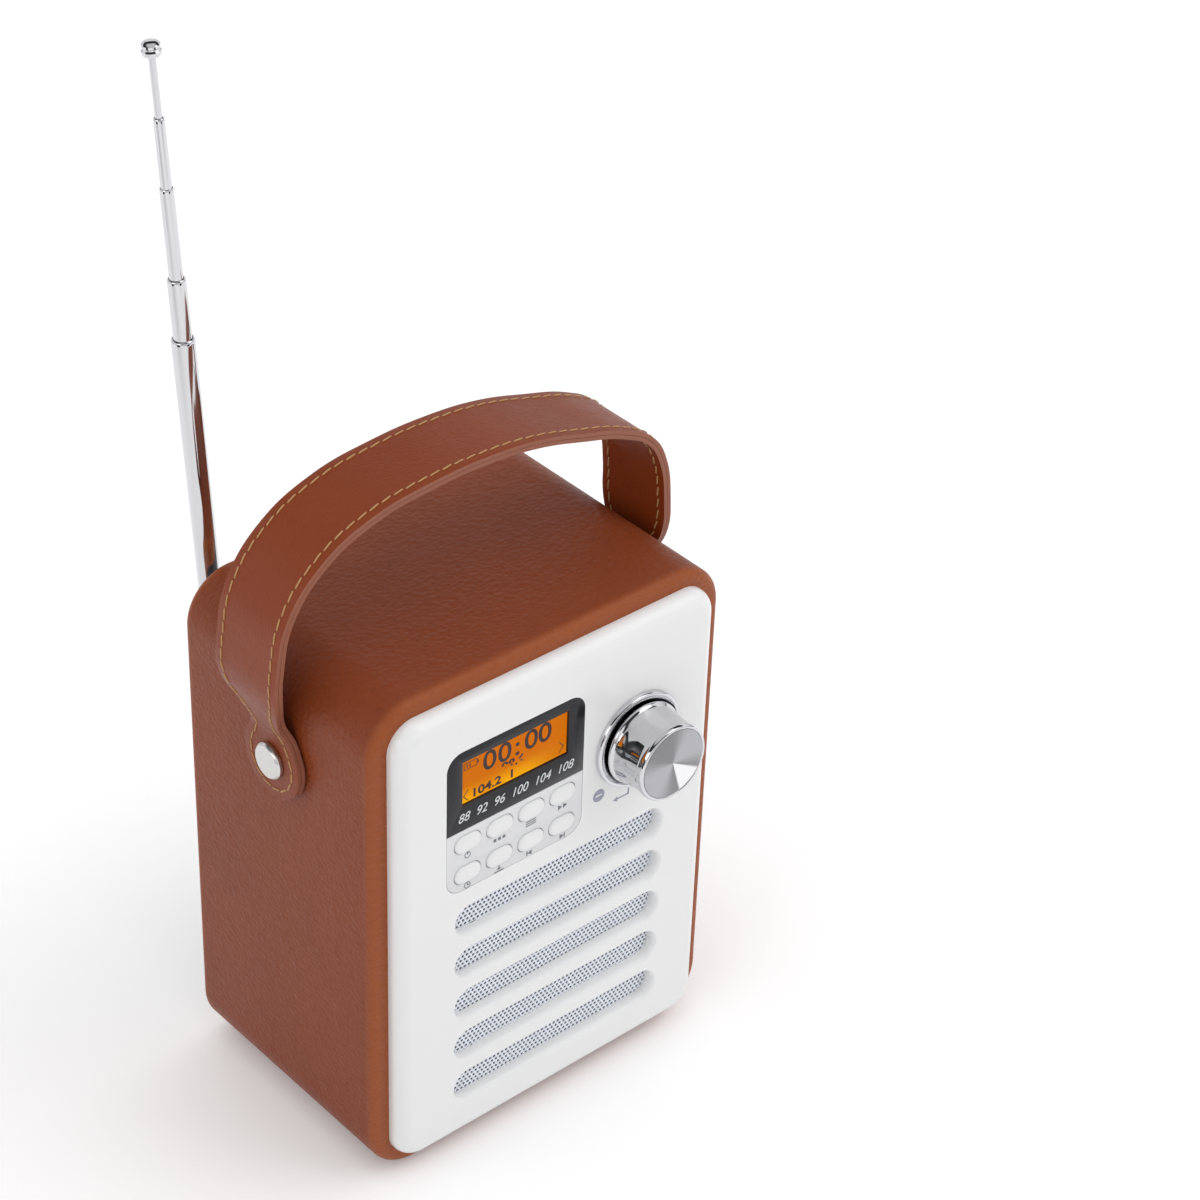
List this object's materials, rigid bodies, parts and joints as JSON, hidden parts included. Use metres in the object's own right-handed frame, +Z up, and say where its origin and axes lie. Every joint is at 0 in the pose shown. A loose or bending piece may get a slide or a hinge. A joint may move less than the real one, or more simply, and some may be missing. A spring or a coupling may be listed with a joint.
{
  "type": "tabletop radio",
  "caption": "Portable tabletop radio: leatherette-wrapped cabinet, moulded front with slotted speaker, lit display, keys and knob, strap handle and telescopic aerial.",
  "frame": {"origin": "under the middle of the whole object's box, on the surface the four feet stand on", "axes": "+Z up, the front panel faces -Y, +X to the right as seen from the front"},
  "size_m": [0.133, 0.1082, 0.3038],
  "materials": {
    "cabinet_wood": "raw medium-density board, hidden",
    "brown_leatherette": "fine-grained reddish brown, satin",
    "strap_leather": "smooth reddish brown, stitched near both edges",
    "rubber": "matt",
    "white_plastic": "glossy white moulding",
    "black_gloss": "glossy black",
    "clear_window": "clear pane",
    "keypad_grey": "satin light grey",
    "lcd_orange": "orange back-lit display, dark characters",
    "light_guide": "lit orange light guide",
    "frame_plastic": "moulded frame",
    "circuit_board": "green solder mask",
    "switch_black": "moulded switches",
    "button_white": "satin white",
    "zinc_steel": "zinc-plated",
    "chrome": "polished chrome",
    "spun_metal": "radially spun",
    "shaft_metal": "machined",
    "grille_paint": "perforated sheet, white paint",
    "foam": "foam gasket",
    "ferrite": "ferrite ring",
    "plated_steel": "plated steel",
    "copper_coil": "copper winding",
    "cone_paper": "black paper",
    "rivet_steel": "satin nickel with a bright rim",
    "back_plastic": "fine-textured black moulding",
    "shield_tin": "tinned can",
    "ribbon": "flat cable",
    "cell_wrap": "shrink-wrapped cell"
  },
  "bodies": {
    "cabinet": {"cabinet_shell": "cabinet_wood", "corner_blocks": "cabinet_wood", "leather_wrap": "brown_leatherette", "rubber_feet": "rubber", "front_panel": "white_plastic", "display_surround": "black_gloss", "display_window": "clear_window", "keypad_label": "keypad_grey", "lcd_cell": "lcd_orange", "lcd_light_guide": "light_guide", "lcd_frame": "frame_plastic", "front_board": "circuit_board", "tact_switches": "switch_black", "long_screws": "zinc_steel", "small_screws": "zinc_steel", "knob_ring": "chrome", "encoder_housing": "plated_steel", "speaker_grille": "grille_paint", "speaker_gasket": "foam", "speaker_basket": "plated_steel", "speaker_top_plate": "plated_steel", "speaker_magnet": "ferrite", "speaker_yoke": "plated_steel", "voice_coil": "copper_coil", "speaker_cone": "cone_paper", "speaker_surround": "rubber", "dust_cap": "cone_paper", "handle_rivets": "rivet_steel", "rivet_washers": "plated_steel", "rivet_nuts": "plated_steel", "back_cover": "back_plastic", "main_board": "circuit_board", "tuner_shield": "shield_tin", "usb_socket": "shield_tin", "headphone_jack": "frame_plastic", "ribbon_cable": "ribbon", "battery_holder": "frame_plastic", "battery_cell": "cell_wrap", "aerial_mount": "chrome"},
    "encoder_dial": {"encoder_rotor": "switch_black"},
    "knob_set": {"knob": "chrome", "knob_face": "spun_metal", "encoder_shaft": "shaft_metal"},
    "handle": {"handle_strap": "strap_leather"},
    "aerial_fork": {"aerial_swivel": "chrome", "aerial_pin": "zinc_steel"},
    "aerial_base": {"aerial_base_tube": "chrome"},
    "aerial_stage_2": {"aerial_tube_2": "chrome"},
    "aerial_stage_3": {"aerial_tube_3": "chrome"},
    "aerial_stage_4": {"aerial_tube_4": "chrome"},
    "aerial_tip_rod": {"aerial_rod": "chrome", "aerial_tip": "chrome"},
    "key_1": {"button_1": "button_white"},
    "key_2": {"button_2": "button_white"},
    "key_3": {"button_3": "button_white"},
    "key_4": {"button_4": "button_white"},
    "key_5": {"button_5": "button_white"},
    "key_6": {"button_6": "button_white"},
    "key_7": {"button_7": "button_white"},
    "key_8": {"button_8": "button_white"}
  },
  "joints": [
    {"name": "knob_turn", "type": "hinge", "parent": "cabinet", "child": "encoder_dial", "pos_m": [0.02916, -0.0395, 0.1143], "axis": [0, 1, 0], "continuous": true},
    {"name": "knob_press", "type": "slide", "parent": "encoder_dial", "child": "knob_set", "axis": [0, 1, 0], "range_m": [0, 0.0008], "stiffness_N_per_m": 1500},
    {"name": "handle_swing", "type": "hinge", "parent": "cabinet", "child": "handle", "pos_m": [0.00296, 0.00265, 0.124], "axis": [1, 0, 0], "range_deg": [-25, 110]},
    {"name": "aerial_turn", "type": "hinge", "parent": "cabinet", "child": "aerial_fork", "pos_m": [-0.04174, 0.051, 0.1307], "axis": [0, 1, 0], "range_deg": [-86.46, 93.54]},
    {"name": "aerial_tilt", "type": "hinge", "parent": "aerial_fork", "child": "aerial_base", "pos_m": [-0.04174, 0.051, 0.1307], "axis": [-0.9981, 0, -0.0617], "range_deg": [0, 90]},
    {"name": "aerial_slide_2", "type": "slide", "parent": "aerial_base", "child": "aerial_stage_2", "axis": [-0.0617, 0, 0.9981], "range_m": [-0.017, 0.05]},
    {"name": "aerial_slide_3", "type": "slide", "parent": "aerial_stage_2", "child": "aerial_stage_3", "axis": [-0.0617, 0, 0.9981], "range_m": [-0.0251, 0.039]},
    {"name": "aerial_slide_4", "type": "slide", "parent": "aerial_stage_3", "child": "aerial_stage_4", "axis": [-0.0617, 0, 0.9981], "range_m": [-0.0187, 0.044]},
    {"name": "aerial_slide_5", "type": "slide", "parent": "aerial_stage_4", "child": "aerial_tip_rod", "axis": [-0.0617, 0, 0.9981], "range_m": [-0.0162, 0.044]},
    {"name": "key_press_1", "type": "slide", "parent": "cabinet", "child": "key_1", "axis": [0, 1, 0], "range_m": [0, 0.0005], "stiffness_N_per_m": 400},
    {"name": "key_press_2", "type": "slide", "parent": "cabinet", "child": "key_2", "axis": [0, 1, 0], "range_m": [0, 0.0005], "stiffness_N_per_m": 400},
    {"name": "key_press_3", "type": "slide", "parent": "cabinet", "child": "key_3", "axis": [0, 1, 0], "range_m": [0, 0.0005], "stiffness_N_per_m": 400},
    {"name": "key_press_4", "type": "slide", "parent": "cabinet", "child": "key_4", "axis": [0, 1, 0], "range_m": [0, 0.0005], "stiffness_N_per_m": 400},
    {"name": "key_press_5", "type": "slide", "parent": "cabinet", "child": "key_5", "axis": [0, 1, 0], "range_m": [0, 0.0005], "stiffness_N_per_m": 400},
    {"name": "key_press_6", "type": "slide", "parent": "cabinet", "child": "key_6", "axis": [0, 1, 0], "range_m": [0, 0.0005], "stiffness_N_per_m": 400},
    {"name": "key_press_7", "type": "slide", "parent": "cabinet", "child": "key_7", "axis": [0, 1, 0], "range_m": [0, 0.0005], "stiffness_N_per_m": 400},
    {"name": "key_press_8", "type": "slide", "parent": "cabinet", "child": "key_8", "axis": [0, 1, 0], "range_m": [0, 0.0005], "stiffness_N_per_m": 400}
  ]
}
